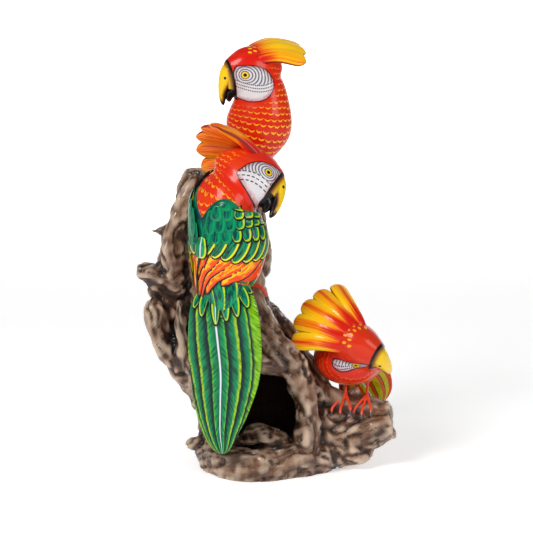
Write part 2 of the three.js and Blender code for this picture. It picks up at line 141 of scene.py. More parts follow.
def unit(v):
    return v / np.maximum(np.linalg.norm(v, axis=-1, keepdims=True), 1e-9)


def lengths_along(points):
    """Millimetres along a line at each of its points."""
    return np.concatenate([[0], np.cumsum(np.linalg.norm(np.diff(points, axis=0), axis=1))])


def fullness(t):
    """How wide a round form is at shares t of its length: 1 in the middle, 0 at both ends."""
    return np.sqrt(np.maximum(0, 1 - (1 - 2 * t) ** 2))


def spine(stations, side, t):
    """Middle, half sizes and the two cross directions of a form, at shares t of its length."""
    stations = np.asarray(stations, float)
    t = np.asarray(t, float)
    middle = spline(stations[:, :3], t)
    half = np.sqrt(np.maximum(0, spline(stations[:, 3:] ** 2, t)))
    ahead, behind = np.minimum(t + 1e-4, 1), np.maximum(t - 1e-4, 0)
    along = unit(spline(stations[:, :3], ahead) - spline(stations[:, :3], behind))
    side = np.asarray(side, float)
    across = unit(side - along * (along @ side)[..., None])
    return middle, half, across, np.cross(along, across)


def form(stations, side, t, angle, lift=0.0):
    """Points on a form swept through stations, at shares t and angles round it, raised by lift."""
    middle, half, across, outward = spine(stations, side, t)
    wide = (half[..., 0] + lift) * np.cos(angle)
    deep = (half[..., 1] + lift) * np.sin(angle)
    return middle + across * wide[..., None] + outward * deep[..., None]


def ball(segments, rings, shape, marks=None):
    """A bmesh sphere whose vertices shape(t, angle) puts in place: t runs from pole to pole. Each of
    marks gives three numbers at every vertex, for a material to read."""
    bm = bmesh.new()
    bmesh.ops.create_uvsphere(bm, u_segments=segments, v_segments=rings, radius=1)
    at = np.array([v.co for v in bm.verts])
    t = np.clip((1 - at[:, 2]) / 2, 0, 1)
    angle = np.arctan2(at[:, 1], at[:, 0])
    places = shape(t, angle)
    for v, place in zip(bm.verts, places):
        v.co = place
    for name, mark in (marks or {}).items():
        layer = bm.verts.layers.float_vector.new(name)
        for v, values in zip(bm.verts, mark(t, angle)):
            v[layer] = values
    bmesh.ops.recalc_face_normals(bm, faces=bm.faces)
    return bm


def gathered(parts):
    """Several bmeshes as one."""
    whole = bmesh.new()
    for part in parts:
        mesh = bpy.data.meshes.new("part")
        part.to_mesh(mesh)
        part.free()
        whole.from_mesh(mesh)
        bpy.data.meshes.remove(mesh)
    return whole


def placed(bm, name):
    """The bmesh as an object, still in millimetres and in the frame of the stations."""
    mesh = bpy.data.meshes.new(name)
    bm.to_mesh(mesh)
    bm.free()
    return linked(name, mesh)


def settled(piece):
    """The same object with its modifiers made part of its mesh."""
    bpy.context.view_layer.update()
    depsgraph = bpy.context.evaluated_depsgraph_get()
    finished = bpy.data.meshes.new_from_object(piece.evaluated_get(depsgraph))
    piece.modifiers.clear()
    piece.data = finished
    return piece


def fused(bm, name, voxel):
    """Overlapping closed shapes as one skin."""
    piece = placed(bm, name)
    remesh = piece.modifiers.new("fuse", "REMESH")
    remesh.mode = "VOXEL"
    remesh.voxel_size = voxel
    return settled(piece)


def vectors(items, key):
    """The three numbers that each of a mesh's items keeps under a key."""
    values = np.empty(len(items) * 3, np.float32)
    items.foreach_get(key, values)
    return values.reshape(-1, 3).astype(float)


def corners(mesh):
    return vectors(mesh.vertices, "co")


def facing(mesh):
    return vectors(mesh.vertex_normals, "vector")


def put(mesh, at):
    mesh.vertices.foreach_set("co", at.astype(np.float32).ravel())
    mesh.update()


def averaged(mesh, values, rounds):
    """Values at the vertices, each round replaced by the mean of its neighbours."""
    edges = np.empty(len(mesh.edges) * 2, np.int32)
    mesh.edges.foreach_get("vertices", edges)
    a, b = edges.reshape(-1, 2).T
    count = np.bincount(np.concatenate([a, b]), minlength=len(values)).astype(float)
    for _ in range(rounds):
        total = np.zeros_like(values)
        np.add.at(total, a, values[b])
        np.add.at(total, b, values[a])
        values = total / (count if values.ndim == 1 else count[:, None])
    return values


def note(mesh, name, values):
    """Keeps values at the vertices, for a material to read."""
    kind = "FLOAT" if values.ndim == 1 else "FLOAT_VECTOR"
    layer = mesh.attributes.new(name, kind, "POINT")
    layer.data.foreach_set("value" if kind == "FLOAT" else "vector", values.astype(np.float32).ravel())


def finished(piece, material, node, slot):
    """Moves a piece from millimetres round the stations' frame to its place, and hands it over."""
    put(piece.data, (corners(piece.data) - MIDDLE) * MM)
    piece.data.shade_smooth()
    piece.data.materials.clear()
    piece.data.materials.append(material)
    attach(piece, "root")
    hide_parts(node)
    return piece


def linear(hex_colour):
    """An sRGB hex colour as the shaders' linear numbers."""
    parts = [int(hex_colour[i : i + 2], 16) / 255 for i in (1, 3, 5)]
    return tuple(c / 12.92 if c <= 0.04045 else ((c + 0.055) / 1.055) ** 2.4 for c in parts) + (1,)


def add(material, kind, links=(), out=0, **settings):
    """One output of a new node with its settings; each of links is a socket, a number or a colour."""
    made = material.node_tree.nodes.new("ShaderNode" + kind)
    stops = settings.pop("stops", None)
    for name, value in settings.items():
        setattr(made, name, value)
    for name, value in dict(links).items():
        if isinstance(value, bpy.types.NodeSocket):
            material.node_tree.links.new(value, made.inputs[name])
        else:
            made.inputs[name].default_value = linear(value) if isinstance(value, str) else value
    if stops:
        ramp = made.color_ramp.elements
        while len(ramp) < len(stops):
            ramp.new(1)
        for element, (place, colour) in zip(ramp, stops):
            element.position = place
            element.color = linear(colour)
    return made.outputs[out]


def surface(name):
    """A new material with its shader."""
    material = bpy.data.materials.new(name)
    material.use_nodes = True
    return material, material.node_tree.nodes["Principled BSDF"]


def tie(material, socket, to):
    material.node_tree.links.new(socket, to)


def kept(material, name, kind="Vector"):
    """What a mesh keeps under a name at its vertices."""
    return add(material, "Attribute", out=kind, attribute_name=name)


def axes(material, vector, count=3):
    return [add(material, "SeparateXYZ", {"Vector": vector}, out=k) for k in range(count)]


def calc(material, operation, *values):
    return add(material, "Math", enumerate(values), operation=operation)


def span(material, value, low, high, start=0, end=1):
    """Value from low to high turned to start to end, and held there beyond them."""
    limits = {"From Min": low, "From Max": high, "To Min": start, "To Max": end}
    return add(material, "MapRange", {"Value": value, **limits})


def mix(material, share, under, over, **settings):
    return add(material, "Mix", {"Factor": share, 6: under, 7: over}, out=2, data_type="RGBA", **settings)


def lacquered(shader, roughness, coat_roughness):
    """The soft gloss of brushed lacquer, with a thin clear skin over its colour."""
    shader.inputs["Roughness"].default_value = roughness
    shader.inputs["Specular IOR Level"].default_value = 0.12
    shader.inputs["Coat Weight"].default_value = 0.3
    shader.inputs["Coat Roughness"].default_value = coat_roughness


WOOD_SIDE = (0, 1, 0)
CAVE_SIDE = (1, 0, 0)


def flutes(count, depth, twist):
    def relief(t, angle):
        return depth * (np.sin(count * angle + twist * t) + 0.5 * np.sin((count + 3) * angle - 5 * t))

    return relief


def limb(stations, segments, rings, relief):
    def shape(t, angle):
        return form(stations, WOOD_SIDE, t, angle, fullness(t) * relief(t, angle))

    return ball(segments, rings, shape)


def sawn(bm, at, normal):
    """Cuts away what lies behind a plane and closes the cut."""
    everything = [*bm.verts, *bm.edges, *bm.faces]
    cut = bmesh.ops.bisect_plane(bm, geom=everything, plane_co=at, plane_no=normal, clear_inner=True)
    rim = [e for e in cut["geom_cut"] if isinstance(e, bmesh.types.BMEdge)]
    bmesh.ops.holes_fill(bm, edges=rim, sides=0)


def driftwood_skin():
    """The limbs fused into one skin, with the cave and the sawn end cut out of it."""
    limbs = [limb(stations, 40, 36, flutes(3, 1, 5)) for stations in LIMBS.values()]
    wood = fused(gathered([limb(TRUNK, 96, 90, flutes(6, 1.6, 7)), *limbs]), "root_wood", WOOD_VOXEL)
    bm = bmesh.new()
    bm.from_mesh(wood.data)
    normal, reach = ROOT_CUT
    sawn(bm, Vector(normal / (normal @ normal) * reach), Vector(normal))
    bm.to_mesh(wood.data)
    bm.free()
    hole = ball(64, 48, lambda t, angle: form(CAVE, CAVE_SIDE, t, angle, 2 * np.sin(3 * angle + 4 * t)))
    cave = placed(hole, "cave")
    hollow = wood.modifiers.new("cave", "BOOLEAN")
    hollow.operation = "DIFFERENCE"
    hollow.solver = "MANIFOLD"
    hollow.object = cave
    again = wood.modifiers.new("fuse", "REMESH")
    again.mode = "VOXEL"
    again.voxel_size = WOOD_VOXEL
    settled(wood)
    bpy.data.objects.remove(cave)
    return wood


def grain_of(at):
    """Where points lie in the grain of the limbs round them: two places across it and one along it."""
    best = np.full(len(at), 1e9)
    near, grains = [], []
    for stations in [TRUNK, *LIMBS.values()]:
        shares = np.linspace(0.01, 0.99, 40)
        middle, half, across, outward = spine(stations, WOOD_SIDE, shares)
        run = lengths_along(middle)
        radius = np.maximum(4, half.mean(axis=1))
        share = np.linalg.norm(at[:, None] - middle[None], axis=2) / radius
        pick = share.argmin(axis=1)
        offset = at - middle[pick]
        turn = run[pick] / 90
        x = (offset * across[pick]).sum(axis=1)
        y = (offset * outward[pick]).sum(axis=1)
        length = run[pick] + (offset * np.cross(across[pick], outward[pick])).sum(axis=1)
        grains.append(np.stack([x * np.cos(turn) - y * np.sin(turn), x * np.sin(turn) + y * np.cos(turn),
                                length], 1))
        near.append(share[np.arange(len(at)), pick])
        best = np.minimum(best, near[-1])
    weights = [np.exp(-7 * (share - best)) for share in near]
    return sum(w[:, None] * g for w, g in zip(weights, grains)) / sum(weights)[:, None]


def waves(points, scale, seed=0.0):
    """Smooth noise at points, in waves about scale long."""
    return np.array([noise.noise(Vector(p)) for p in points / scale + seed])


def groove(values, width):
    """1 along the lines where values cross zero, falling to 0 beside them."""
    return np.exp(-((values / width) ** 2))


def in_cave(at):
    """1 deep inside the cave, 0 outside it."""
    middle, half, across, outward = spine(CAVE, CAVE_SIDE, np.linspace(0.05, 0.95, 30))
    pick = np.abs(at[:, 1:2] - middle[:, 1]).argmin(axis=1)
    offset = at - middle[pick]
    share = np.hypot((offset * across[pick]).sum(1) / half[pick, 0],
                     (offset * outward[pick]).sum(1) / half[pick, 1])
    return np.clip((1.35 - share) / 0.2, 0, 1) * np.clip((at[:, 1] + 64) / 22, 0, 1) * (at[:, 1] < 18)


wood = driftwood_skin()
at, out = corners(wood.data), facing(wood.data)
grain = grain_of(at)
stretched = grain * (1, 1, 0.22)
flow = waves(stretched, 15) + 0.5 * waves(stretched, 7, 5)
splits = groove(waves(stretched, 11, 11), 0.06)
lumps = waves(at, 30, 3) + 0.7 * waves(at, 13, 8)
worn = 1.7 * flow + 3.6 * lumps - 2.6 * splits + 0.5 * waves(at, 5, 21) - 0.6
feet = np.array([leg[0] for leg in LEGS.values()], float)
near_feet = np.linalg.norm(at[:, None] - feet, axis=2).min(axis=1)
at = at + out * (worn * (1 - np.exp(-((near_feet / 24) ** 4))))[:, None]
at[:, 2] = np.where(at[:, 2] < 1.5, at[:, 2] - 6, at[:, 2])
put(wood.data, at)
hollowness = ((averaged(wood.data, at, 6) - at) * out).sum(axis=1)
hollowness = averaged(wood.data, hollowness, 2)
note(wood.data, "cave", in_cave(at))
note(wood.data, "grain", stretched)
note(wood.data, "hollowness", hollowness)
note(wood.data, "splits", splits)
bm = bmesh.new()
bm.from_mesh(wood.data)
sawn(bm, (0, 0, 0), (0, 0, 1))
bmesh.ops.triangulate(bm, faces=[f for f in bm.faces if len(f.verts) > 4])
bm.to_mesh(wood.data)
bm.free()

# Root wood, brushed clean and given one coat of satin varnish: brown, darker along the splits, with painted
# shade in its hollows and inside the cave, and paler on the ridges, partly worn and partly a painted
# highlight.
varnish, shader = surface("varnished root wood, brushed and worn")
lies = kept(varnish, "grain")
fibres = add(varnish, "TexNoise", {"Vector": lies, "Scale": 0.7, "Detail": 8, "Roughness": 0.75})
streaks = add(varnish, "TexNoise", {"Vector": lies, "Scale": 0.09, "Detail": 4})
brown = add(varnish, "ValToRGB", {"Fac": streaks},
            stops=[(0.28, "#452c1e"), (0.43, "#7c5840"), (0.57, "#a87f62"), (0.72, "#c8a688")])
fine = add(varnish, "ValToRGB", {"Fac": fibres},
           stops=[(0.34, "#3c2c24"), (0.45, "#a8907e"), (0.55, "#e0d2c6"), (0.68, "#ffffff")])
toned = mix(varnish, 0.9, brown, fine, blend_type="MULTIPLY")
bend = kept(varnish, "hollowness", "Fac")
# Paler on the ridges: partly real wear and partly a painted highlight where the ridges catch the light.
high = span(varnish, bend, -0.05, -0.8, 0, 0.8)
worn_and_highlit_ridges = mix(varnish, high, toned, "#f0d2b6")
# Painted shade: the deeper a hollow, the darker the wood is made, down to near black.
deep = span(varnish, bend, 0.0, 0.7, 0, 0.94)
dark = mix(varnish, deep, worn_and_highlit_ridges, "#1c0f08")
split = kept(varnish, "splits", "Fac")
line = span(varnish, split, 0.35, 1, 0, 0.75)
cracked = mix(varnish, line, dark, "#180c07")
# Painted shade: inside the cave the wood is made near black, and its varnish is dulled there so it shows no
# reflection.
sunk = kept(varnish, "cave", "Fac")
shaded = mix(varnish, sunk, cracked, "#150d08")
tie(varnish, shaded, shader.inputs["Base Color"])
relief = add(varnish, "Bump", {"Height": fibres, "Strength": 1.0, "Distance": 0.003})
tie(varnish, relief, shader.inputs["Normal"])
dulled = span(varnish, sunk, 0, 1, 0.36, 1)
tie(varnish, dulled, shader.inputs["Roughness"])
coat = span(varnish, sunk, 0, 0.5, 0.6, 0)
tie(varnish, coat, shader.inputs["Coat Weight"])
gleam = span(varnish, sunk, 0, 0.5, 0.3, 0)
tie(varnish, gleam, shader.inputs["Specular IOR Level"])
shader.inputs["Coat Roughness"].default_value = 0.14
finished(wood, varnish, "driftwood", "driftwood")

# Parrots
# Each bird is carved from one block of light wood, with its crest, beak, wings and tail, then painted
# by hand in lacquer. In a head's own frame x points to the beak, y to the bird's left, z to the crown.
SKULL = [(-33, 0, 2, 0, 0), (-25, 0, 5, 16, 22), (-8, 0, 6, 24, 33), (9, 0, 4, 25, 35), (23, 0, 0, 20, 29),
         (33, 0, -4, 13, 22), (39, 0, -6, 0, 0)]
BIRDS = {
    "top": {
        "at": (-15, 10, 456.5), "beak": (-0.92, -0.39, 0.02), "crown": (0.1, -0.24, 0.97), "size": 0.94,
        "lean": -6, "right": (-1, 0.1, 0), "slot": "lacquer_red",
        "body": [(-9, 10, 468, 0, 0), (-8, 10, 455, 25, 25), (-6, 12, 434, 31.5, 28), (-7, 14, 416, 37, 32),
                 (-9.5, 17, 400, 39, 35), (-14, 23, 384, 33, 34), (-18, 31, 370, 24, 28),
                 (-23, 43, 354, 13, 16), (-26, 52, 336, 0, 0)],
        "wing": {"neck": 0.36, "edge": 0.74, "tip": 0.97, "curve": 1.4, "reach": 62, "seam": 0, "sweep": 0},
        "tail": [(-22, 38, 352, 0, 0), (-25, 50, 338, 17, 7), (-30, 68, 300, 25, 5), (-34, 76, 262, 27, 4.5),
                 (-38, 78, 222, 20, 4), (-41, 77, 190, 0, 0)],
        "tail_right": (-1, 0.1, 0), "rachis": (0, 0),
        "eye": (20.5, 8.4), "dashes": (-0.010, 9, -10.3, 3.5, 3.1), "plain": 2.5, "chin": 25,
        "patch": [(33, 9), (30.8, 16.6), (23.9, 19.2), (12.5, 20.5), (0.9, 18.7), (-8.2, 13.9), (-14, 6),
                  (-14.6, -1.2), (-11.7, -8.9), (-5.9, -15.5), (2.1, -20), (14.7, -23), (25, -22),
                  (27, -18.5), (30, -11), (31.5, -1)],
    },
    "middle": {
        "at": (-24.5, -68, 342), "beak": (0.96, 0, -0.28), "crown": (0.224, 0.6, 0.768), "size": 1.06,
        "lean": 1, "right": (0.73, -0.68, 0), "slot": "lacquer_green",
        "body": [(-22, -66, 350, 0, 0), (-28, -66, 338, 26, 26), (-43, -66, 320, 39.5, 35),
                 (-45, -66, 298, 43, 35), (-42, -66, 275, 48, 38), (-43, -67, 250, 42.5, 35),
                 (-48, -70, 227, 33, 29), (-48, -77, 206, 28, 21), (-49, -84, 180, 0, 0)],
        "wing": {"neck": 0.355, "edge": 0.62, "tip": 0.87, "curve": 0.35, "reach": 120, "seam": 3,
                 "sweep": 28},
        "tail": [(-49, -76, 236, 0, 0), (-48, -84, 206, 38, 11), (-47, -86, 160, 43, 7),
                 (-47, -87, 128, 41, 6), (-50, -88, 95, 34, 5), (-52, -88, 62, 22, 4), (-50, -88, 35, 0, 0)],
        "tail_right": (0.95, -0.31, 0), "rachis": (-0.24, 0.1),
        "eye": (21.6, 4.7), "dashes": (0.008, 16, -8, 5, 1.15), "plain": 12, "chin": 25,
        "patch": [(34.8, 14), (27.3, 16), (16.8, 14.6), (7.7, 11.4), (-0.4, 5.7), (-7.1, -2.1),
                  (-10.1, -6.8), (-4, -15.1), (5.5, -22.3), (14.9, -26.5), (22.5, -26), (26.2, -18.5),
                  (29, -8.6), (31.5, 1.8)],
    },
    "lower": {
        "at": (101.5, -29, 148), "beak": (0.76, -0.58, -0.28), "crown": (-0.34, -0.73, 0.59), "size": 1.045,
        "lean": 4, "right": (-1, 0, 0), "slot": "lacquer_orange",
        "body": [(101, -50, 130, 0, 0), (100, -38, 130, 30, 23), (98, -16, 130, 41, 31),
                 (98, 8, 129, 42, 33), (100, 30, 121, 35, 29), (105, 50, 108, 23, 19), (110, 64, 98, 0, 0)],
        "wing": {"neck": 0.3, "edge": 0.72, "tip": 0.98, "curve": 1.4, "reach": 70, "seam": 0, "sweep": 0},
        "tail": [(104, 28, 110, 0, 0), (110, 35, 102, 26, 8), (119, 39, 89, 33, 6), (128, 43, 74, 27, 5),
                 (135, 46, 60, 0, 0)],
        "tail_right": (-0.9, 0.1, -0.35), "rachis": (0, 0),
        "eye": (20, 8), "dashes": (-0.010, 9, -1.5, 2.5, 3.1), "plain": 3, "chin": 4,
        "patch": [(33, 7.5), (29, 11), (20, 13.5), (9, 13.5), (0, 13), (-6.5, 11.5), (-4, 7.5), (4, 3),
                  (12, 1.5), (22, 2.5), (30, 5)],
    },
}
HUB = 38  # mm in front of a skull's middle, the point that the lobes of the crest fan out from
LOBE_TURN = 12.5  # degrees between two lobes
THIGH = [(13, 0), (8, 9), (2, 6.5), (-3, 0)]  # heights above the knee and radii
STROKES_ROUND = 28  # painted strokes in one row round a body
STROKE_ROWS = 5.8  # mm between the rows
HORN = [(0.1, "#0e0906"), (0.18, "#3a1f0c"), (0.36, "#96601a"), (0.62, "#e9b91a"), (0.8, "#f2c81a")]


def head_axes(bird):
    forward = unit(np.array(bird["beak"], float))
    left = unit(np.cross(bird["crown"], forward))
    return np.array([forward, left, np.cross(forward, left)])


def in_head(bird, at):
    return (at - np.array(bird["at"])) @ head_axes(bird).T / bird["size"]


def head_ball(bird, stations, segments, rings, marks=None, side=(0, 1, 0)):
    """A form swept in a head's own frame, put on the bird."""
    def shape(t, angle):
        return np.array(bird["at"]) + bird["size"] * (form(stations, side, t, angle) @ head_axes(bird))

    return ball(segments, rings, shape, marks)


def thigh(foot, knee):
    up = unit(np.subtract(knee, foot).astype(float))
    stations = [(*(np.array(knee) + up * height), r, r) for height, r in THIGH]
    return ball(20, 12, lambda t, angle: form(stations, (0.6, 0.8, 0), t, angle))


def wrapped(stations, side, at):
    """Where points lie round a form: the cosine and sine of their angle, and millimetres along it."""
    middle, half, across, outward = spine(stations, side, np.linspace(0.02, 0.98, 120))
    run = lengths_along(middle)
    pick = np.linalg.norm(at[:, None] - middle, axis=2).argmin(axis=1)
    offset = at - middle[pick]
    x = (offset * across[pick]).sum(axis=1) / half[pick, 0]
    y = (offset * outward[pick]).sum(axis=1) / half[pick, 1]
    length = run[pick] + (offset * np.cross(across[pick], outward[pick])).sum(axis=1)
    return np.stack([x, y, length], 1)


def within(outline, x, z):
    """Millimetres inside a closed outline drawn smoothly through its corners; less than 0 outside."""
    held = np.array([*outline[-2:], *outline, *outline[:3]], float)
    steps = len(held) - 1
    curve = spline(held, np.linspace(2 / steps, (steps - 2) / steps, 120))[:-1]
    edge = np.roll(curve, -1, axis=0) - curve
    here = np.stack([x, z], 1)[:, None]
    share = np.clip(((here - curve) * edge).sum(2) / (edge**2).sum(1), 0, 1)
    away = np.linalg.norm(here - (curve + share[..., None] * edge), axis=2).min(axis=1)
    spans = (curve[:, 1] > z[:, None]) != ((curve + edge)[:, 1] > z[:, None])
    rise = np.where(edge[:, 1] == 0, 1e-9, edge[:, 1])
    crossing = curve[:, 0] + edge[:, 0] / rise * (z[:, None] - curve[:, 1])
    inside = (spans & (x[:, None] < crossing)).sum(axis=1) % 2 == 1
    return np.where(inside, away, -away)


def before_bill(local):
    """Millimetres in front of the line where a beak begins, for points in a head's own frame."""
    return local[:, 0] - 31 - 0.33 * local[:, 2]


def plumage(name, bird):
    """The body, head and thighs in one skin, with the places that the painting follows."""
    body = ball(56, 44, lambda t, angle: form(bird["body"], bird["right"], t, angle))
    thighs = [thigh(*leg[:2]) for key, leg in LEGS.items() if name in key]
    piece = fused(gathered([body, head_ball(bird, SKULL, 44, 36), *thighs]), f"plumage_{name}", 1.3)
    at = averaged(piece.data, corners(piece.data), 12)
    put(piece.data, at)
    local = in_head(bird, at)
    towards = (local[:, [0, 2]] - bird["eye"]) * bird["size"]
    slow = towards * np.where(towards[:, :1] < 0, (0.78, 1), (1, 1))
    places = wrapped(bird["body"], bird["right"], at)
    patch = within(bird["patch"], local[:, 0], local[:, 2])
    bill = np.minimum(before_bill(local), local[:, 2] + bird["chin"])
    bill = np.minimum(bill, 0.9 + 12 * np.maximum(0, local[:, 2] + 13))  # the black of the lower beak
    to_right, crown = facing(piece.data)[:, 0], np.clip((local[:, 2] - 18) / 4, 0, 1)
    bold = np.clip(0.15 + (places[:, 2] - 20) / 70 + 0.35 * to_right, 0, 1)
    plain = np.clip((-patch - bird["plain"]) / 6, 0, 1) * np.clip((-bill - 3) / 8, 0, 1) * (1 - crown)
    from_hub = np.hypot(HUB - local[:, 0], local[:, 1])
    fan = (np.degrees(np.arctan2(local[:, 1], HUB - local[:, 0])) - bird["lean"]) / LOBE_TURN
    dabs = np.full(len(at), 9.0)  # how far from a dab of yellow at the roots of the crest: 1 at its edge
    for row, shift in ((33, 0), (27, 0.5)):
        beside = fan + shift - np.clip(np.round(fan + shift), -2, 2 + 2 * shift)
        aside = np.radians(LOBE_TURN) * beside * from_hub
        dabs = np.minimum(dabs, np.hypot(aside / 1.2, (from_hub - row) / 2.6))
    dabs = np.where(crown > 0.5, dabs, 9)
    note(piece.data, "wrapped", places)
    note(piece.data, "face", np.stack([towards[:, 0], towards[:, 1], np.linalg.norm(slow, axis=1)], 1))
    note(piece.data, "zones", np.stack([patch, bill, dabs], 1))
    note(piece.data, "strokes", np.stack([plain, bold, places[:, 2]], 1))
    return piece


# Lacquer laid on by brush: rows of small curved strokes over the ground colour, and on the face a white
# patch with a pink edge, fine rings, three rows of dashes and the eye.
def plumage_paint(name, ground, shade, faint, bright, dash_rows):
    bow, centre, first, pitch, pace = dash_rows
    paint, shader = surface(name)
    place = kept(paint, "wrapped")
    x, y, run = axes(paint, place)
    angle = calc(paint, "ARCTAN2", y, x)
    u = calc(paint, "MULTIPLY", angle, STROKES_ROUND / (2 * np.pi))
    v = calc(paint, "MULTIPLY", run, 1 / (2 * STROKE_ROWS))
    p = calc(paint, "ADD", u, v)
    q = calc(paint, "SUBTRACT", u, v)
    crossed = add(paint, "CombineXYZ", {0: p, 1: q})
    nearest = add(paint, "TexVoronoi", {"Vector": crossed, "Scale": 1, "Randomness": 0.16}, out="Position",
                  voronoi_dimensions="2D")
    off = add(paint, "VectorMath", {0: crossed, 1: nearest}, operation="SUBTRACT")
    wide = add(paint, "VectorMath", {0: off, 1: (3.8, 3.8, 0)}, out="Value", operation="DOT_PRODUCT")
    down = add(paint, "VectorMath", {0: off, 1: (STROKE_ROWS, -STROKE_ROWS, 0)}, out="Value",
               operation="DOT_PRODUCT")
    hung = calc(paint, "ADD", down, 3.2)
    arc = add(paint, "VectorMath", {0: add(paint, "CombineXYZ", {0: wide, 1: hung})}, out="Value",
              operation="LENGTH")
    apart = calc(paint, "ABSOLUTE", calc(paint, "SUBTRACT", arc, 4.0))
    taper = calc(paint, "MULTIPLY", wide, wide)
    thin = calc(paint, "MULTIPLY_ADD", taper, 0.05, apart)
    dab = span(paint, thin, 0.85, 0.5)
    below = span(paint, hung, 0, 1)
    curved = calc(paint, "MULTIPLY", dab, below)
    strength = kept(paint, "strokes")
    plain, bold = axes(paint, strength, 2)
    strokes = calc(paint, "MULTIPLY", curved, plain)
    cloud = add(paint, "TexNoise", {"Vector": place, "Scale": 0.09, "Detail": 3})
    tinge = span(paint, cloud, 0.42, 0.62)
    base = mix(paint, tinge, ground, shade)
    yellow = mix(paint, bold, faint, bright)
    feathered = mix(paint, strokes, base, yellow)

    zones = kept(paint, "zones")
    patch, bill, dabs = axes(paint, zones)
    dabbed = span(paint, dabs, 1.1, 0.85)
    crowned = mix(paint, dabbed, feathered, bright)
    face = kept(paint, "face")
    fx, fz, slow = axes(paint, face)
    brushed = add(paint, "TexNoise", {"Vector": face, "Scale": 0.45, "Detail": 4})
    uneven = calc(paint, "MULTIPLY_ADD", brushed, -7, patch)
    rosy = span(paint, uneven, 1.5, -3.2, 0, 0.8)
    white = mix(paint, rosy, "#d9d4d6", "#b8606a")
    from_centre = calc(paint, "ADD", fx, centre)
    squared = calc(paint, "MULTIPLY", from_centre, from_centre)
    sag = calc(paint, "MULTIPLY_ADD", squared, bow, fz)
    ripple = calc(paint, "SINE", calc(paint, "MULTIPLY", slow, 2.2))
    ring = span(paint, ripple, -0.1, 0.6, 0, 0.9)
    above = span(paint, sag, first - pitch / 2, first + 2)
    ring_here = calc(paint, "MULTIPLY", ring, above)
    ringed = mix(paint, ring_here, white, "#3c4254")
    radius = add(paint, "VectorMath", {0: add(paint, "CombineXYZ", {0: fx, 1: fz})}, out="Value",
                 operation="LENGTH")
    under = calc(paint, "SUBTRACT", first, sag)
    from_row = calc(paint, "PINGPONG", under, pitch / 2)
    lined = span(paint, from_row, 0.8, 0.45)
    beat = calc(paint, "SINE", calc(paint, "MULTIPLY", fx, pace))
    dashed = span(paint, beat, -0.6, -0.2)
    rows = calc(paint, "COMPARE", under, pitch, 1.4 * pitch)
    dashes = calc(paint, "MULTIPLY", lined, dashed)
    marks = calc(paint, "MULTIPLY", dashes, rows)
    marked = mix(paint, marks, ringed, "#15121a")
    eye = add(paint, "ValToRGB", {"Fac": calc(paint, "MULTIPLY", radius, 0.17)},
              stops=[(0.0, "#0b0b0b"), (0.32, "#0b0b0b"), (0.36, "#f0c52e"), (0.64, "#f0c52e"),
                     (0.68, "#0b0b0b"),
                     (0.79, "#0b0b0b"), (0.84, "#d9d4d6")])
    seen = span(paint, radius, 5.1, 4.8)
    eyed = mix(paint, seen, marked, eye)
    inside = span(paint, patch, -0.2, 0.2)
    faced = mix(paint, inside, crowned, eyed)
    from_rim = calc(paint, "ABSOLUTE", patch)
    rim = span(paint, from_rim, 0.9, 0.45, 0, 0.9)
    rimmed = mix(paint, rim, faced, "#2a0d10")
    horn = add(paint, "ValToRGB", {"Fac": calc(paint, "MULTIPLY", bill, 0.1)}, stops=HORN)
    billed = span(paint, bill, -1.0, -0.6)
    whole = mix(paint, billed, rimmed, horn)
    tie(paint, whole, shader.inputs["Base Color"])
    raised = add(paint, "Bump", {"Height": strokes, "Strength": 0.5, "Distance": 0.0004})
    tie(paint, raised, shader.inputs["Normal"])
    lacquered(shader, 0.3, 0.1)
    return paint


PLUMAGE_COLOURS = {
    "top": ("#d81a0c", "#d9330f", "#ee6a1c", "#ffc81e"),
    "middle": ("#dd2410", "#e03a12", "#f39a1c", "#ffb41e"),
    "lower": ("#d01a0c", "#d53210", "#e6661a", "#f9a81e"),
}
for name, bird in BIRDS.items():
    called = f"{name} bird lacquered in brushed strokes"
    paint = plumage_paint(called, *PLUMAGE_COLOURS[name], bird["dashes"])
    finished(plumage(name, bird), paint, f"parrot_{name}", bird["slot"])

# Beaks
# A hooked upper beak and a small black lower one, carved with the head. The upper is yellow, shaded with
# brown towards a black line round its base, with a black tip and a black dot for each nostril.
BEAK = [(20, 0, 12, 0, 0), (26, 0, 10, 13, 13), (32.5, 0, 6, 12, 12), (37, 0, -3, 9.5, 8.5),
        (38.5, 0, -15, 7, 6.2), (38, 0, -26, 4.8, 4.4), (36, 0, -35.5, 0, 0)]
JAW = [(18, 0, -13, 0, 0), (23, 0, -16, 10, 9.5), (28.5, 0, -19, 8, 8.5), (29.5, 0, -25, 5, 5),
       (28.5, 0, -31, 0, 0)]
NOSTRIL = (41.5, 9, 0.7)

beak_paint, shader = surface("yellow enamel shaded with brown")
near = kept(beak_paint, "near", "Fac")
lies = kept(beak_paint, "lies")
brushed = add(beak_paint, "TexNoise", {"Vector": lies, "Scale": 0.3, "Detail": 3})
uneven = calc(beak_paint, "MULTIPLY_ADD", brushed, 0.25, near)
shading = add(beak_paint, "ValToRGB", {"Fac": calc(beak_paint, "SUBTRACT", uneven, 0.12)},
              stops=HORN)
from_dot = add(beak_paint, "VectorMath", {0: lies, 1: NOSTRIL}, out="Value", operation="DISTANCE")
dot = span(beak_paint, from_dot, 2.2, 1.7)
dotted = mix(beak_paint, dot, shading, "#0f0b09")
tie(beak_paint, dotted, shader.inputs["Base Color"])
lacquered(shader, 0.25, 0.08)

jaw_paint, shader = surface("black enamel")
shader.inputs["Base Color"].default_value = linear("#0f0c0b")
lacquered(shader, 0.25, 0.03)

tucked_paint, shader = surface("red lacquer, where the lower beak is tucked into the breast")
shader.inputs["Base Color"].default_value = linear("#cf1c0c")
shader.inputs["Roughness"].default_value = 0.3

